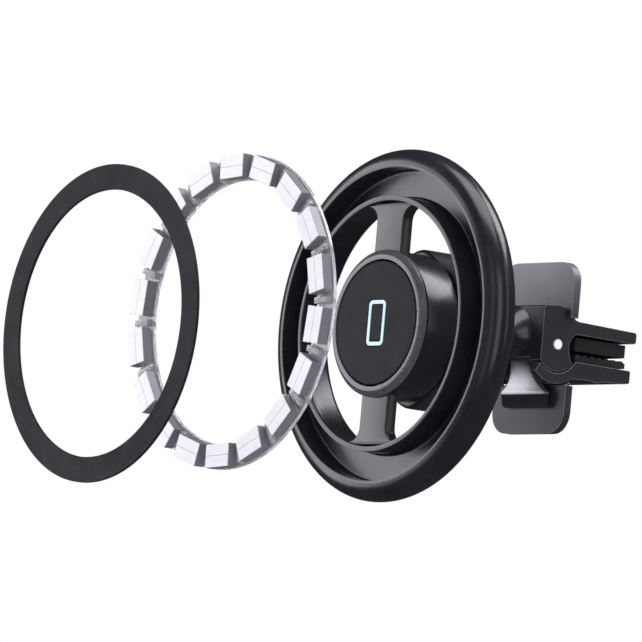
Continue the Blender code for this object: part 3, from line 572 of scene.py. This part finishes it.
# thumb lever: curved tongue with a rounded nose
bm = bmesh.new()
rows = []
for (z, yf, yb, hw) in spline([(-2.0, 33.64, 35.4, 2.95), (-3.4, 33.94, 35.6, 2.95), (-4.8, 34.34, 35.92, 3.25), (-5.9, 34.64, 36.22, 3.75),
                               (-6.9, 34.89, 36.42, 4.55), (-7.6, 35.03, 36.44, 5.35), (-8.15, 35.09, 36.44, 6.05), (-8.7, 35.26, 36.47, 6.26),
                               (-10.2, 35.58, 36.48, 6.26), (-10.75, 35.82, 36.48, 6.1), (-10.96, 36.02, 36.46, 5.85)], 6):
    rr = 0.42 * min(1.0, (yb - yf) / 1.6)
    cy, hy = (yf + yb) / 2, (yb - yf) / 2
    rows.append([(x, cy + y, z) for (x, y) in rounded_rect(hw, hy, rr, 6)])
skin_into(bm, rows)
lever = make("thumb_lever_skin", bm, [M_LEVER], 40)
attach(lever, "lower_jaw_body")

give("vent_clip_body", M_SATIN)
give("lower_jaw", M_SATIN)
give("stabiliser_plate", M_PLATE)
soften_edges("vent_clip_body", 0.20, M_EDGE_HIGHLIGHT)
soften_edges("lower_jaw", 0.18, M_EDGE_HIGHLIGHT)
soften_edges("stabiliser_plate", 0.24, M_PLATE_EDGE_HIGHLIGHT)
give("pivot_pin", M_PIN)
give("upper_jaw_pad", M_RUBBER)
give("lower_jaw_pad", M_RUBBER)

# ---------------------------------------------------------- floor and light
lo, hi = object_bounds()
bpy.ops.mesh.primitive_plane_add(size=1.6, location=(0, -0.01, lo.z - 0.0225))
floor = bpy.context.object
floor.name = "pale_floor"
g = G("pale_floor")
g.l(g.mix(g.ramp(g.noise(0.02, 3.0), 0.3, 0.7, 0.0, 1.0), (0.86, 0.86, 0.87), (0.83, 0.83, 0.84)), g.b.inputs["Base Color"])
g.b.inputs["Roughness"].default_value = 0.6
geo = g.n("ShaderNodeNewGeometry")
tr = g.n("ShaderNodeBsdfTransparent")
mx = g.n("ShaderNodeMixShader")
g.l(geo.outputs["Backfacing"], mx.inputs[0])
g.l(g.b.outputs[0], mx.inputs[1])
g.l(tr.outputs[0], mx.inputs[2])
g.l(mx.outputs[0], g.out.inputs["Surface"])
floor.data.materials.append(g.m)
floor.visible_glossy = False

world = bpy.data.worlds.new("studio")
bpy.context.scene.world = world
world.use_nodes = True
wt = world.node_tree
bg = wt.nodes["Background"]
lp = wt.nodes.new("ShaderNodeLightPath")
m1 = wt.nodes.new("ShaderNodeMix"); m1.data_type = "RGBA"
m2 = wt.nodes.new("ShaderNodeMix"); m2.data_type = "RGBA"
m1.inputs[6].default_value = (0.42, 0.42, 0.43, 1)      # fill for diffuse rays
m1.inputs[7].default_value = (0.05, 0.05, 0.052, 1)     # what glossy rays see
wt.links.new(lp.outputs["Is Glossy Ray"], m1.inputs[0])
wt.links.new(m1.outputs[2], m2.inputs[6])
m2.inputs[7].default_value = (1.0, 1.0, 1.0, 1)         # white behind the object
wt.links.new(lp.outputs["Is Camera Ray"], m2.inputs[0])
wt.links.new(m2.outputs[2], bg.inputs["Color"])


def softbox(name, direction, dist, size_x, size_y, radiance, target=(0, 0.0, 0)):
    dvec = Vector(direction).normalized()
    ld = bpy.data.lights.new(name, "AREA")
    ld.shape = "RECTANGLE"
    ld.size, ld.size_y = size_x, size_y
    ld.energy = radiance * math.pi * size_x * size_y
    ld.color = (0.985, 0.972, 1.03)
    ob = bpy.data.objects.new(name, ld)
    ob.location = Vector(target) + dvec * dist
    ob.rotation_euler = (-dvec).to_track_quat("-Z", "Y").to_euler()
    ob.visible_camera = False
    bpy.context.scene.collection.objects.link(ob)
    return ob


softbox("key_front_left", (-0.784, -0.614, 0.10), 0.55, 0.50, 0.55, 3.4)
softbox("strip_front", (0.30, -0.95, 0.10), 0.60, 0.16, 0.55, 0.7)
softbox("strip_camera_side", (0.86, -0.50, 0.12), 0.62, 0.30, 0.60, 1.5)
softbox("top", (0.16, -0.15, 1.0), 0.55, 0.50, 0.40, 4.2)
softbox("rim_back", (0.22, 0.62, 0.75), 0.55, 0.32, 0.30, 6.0)
softbox("rim_back_right", (0.80, 0.55, 0.25), 0.60, 0.08, 0.45, 2.0)

# --------------------------------------------------------------- camera
cam_data = bpy.data.cameras.new("camera")
cam = bpy.data.objects.new("camera", cam_data)
bpy.context.scene.collection.objects.link(cam)
bpy.context.scene.camera = cam
F_PX, SCALE, ROLL = 8000.0, 5600.0, 5.0                  # px; px per metre; degrees
cam_data.sensor_width = 36.0
cam_data.lens = 36.0 * F_PX / 642.0
dist = F_PX / SCALE
v = Vector((0.7842, -0.6135, -0.0912)).normalized()
f0 = -v
r0 = f0.cross(Vector((0, 0, 1))).normalized()
u0 = r0.cross(f0).normalized()
c, s = math.cos(math.radians(ROLL)), math.sin(math.radians(ROLL))
r = r0 * c + u0 * s
u = u0 * c - r0 * s
hub_u, hub_v = 375.4, 322.2
cam.matrix_world = Matrix((
    (r.x, u.x, -f0.x, 0), (r.y, u.y, -f0.y, 0), (r.z, u.z, -f0.z, 0), (0, 0, 0, 1)))
cam.location = v * dist - r * ((hub_u - 320.5) / SCALE) + u * ((hub_v - 320.5) / SCALE)
cam_data.clip_start, cam_data.clip_end = 0.05, 20.0

bpy.context.scene.view_settings.view_transform = "Standard"
bpy.context.scene.view_settings.look = "None"
